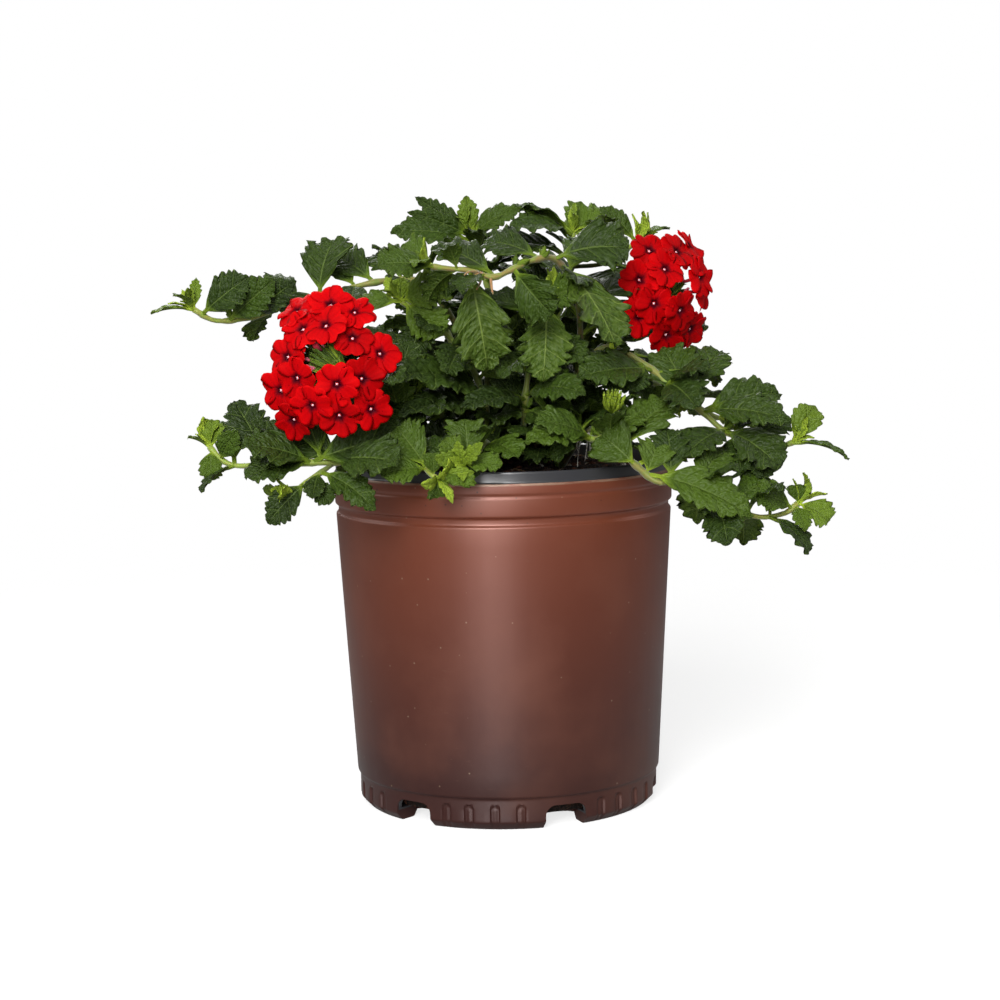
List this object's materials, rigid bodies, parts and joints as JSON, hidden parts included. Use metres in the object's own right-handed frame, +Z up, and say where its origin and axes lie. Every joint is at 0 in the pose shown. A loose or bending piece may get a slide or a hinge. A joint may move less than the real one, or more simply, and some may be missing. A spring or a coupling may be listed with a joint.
{
  "type": "potted verbena",
  "caption": "Trailing verbena with toothed leaves and domed red flower heads, growing in soil in a round moulded nursery pot that stands on its base.",
  "frame": {"origin": "on the pot's axis, at the level of the surface that the pot stands on", "axes": "+Z up along the pot's axis, -Y towards the side with both flower heads, +X to the right of that view, along which the runners spread"},
  "size_m": [0.3029, 0.2469, 0.2762],
  "materials": {
    "pot": "satin moulded polypropylene, bronze brown outside, black inside and at the lip",
    "soil": "moist dark potting mix with white perlite grains",
    "leaf": "matte, rough, quilted between the veins, with short hairs",
    "petal": "matte velvety scarlet, crimson towards the eye"
  },
  "bodies": {
    "root": {"pot": "pot", "soil": "soil", "shoot_left_runner": "leaf", "shoot_top_runner": "leaf", "shoot_top_left": "leaf", "shoot_top_right": "leaf", "shoot_right_bloom": "leaf", "shoot_right_shoot": "leaf", "shoot_lower_right": "leaf", "shoot_lower_left": "leaf", "shoot_left_bloom": "leaf", "shoot_front": "leaf", "shoot_inner_left": "leaf", "shoot_inner_right": "leaf", "shoot_front_right": "leaf", "shoot_far_1": "leaf", "shoot_far_2": "leaf", "shoot_far_3": "leaf", "shoot_far_4": "leaf", "shoot_far_5": "leaf", "shoot_tall_1": "leaf", "shoot_tall_2": "leaf", "florets_right_bloom": "petal", "florets_left_bloom": "petal"}
  },
  "joints": []
}
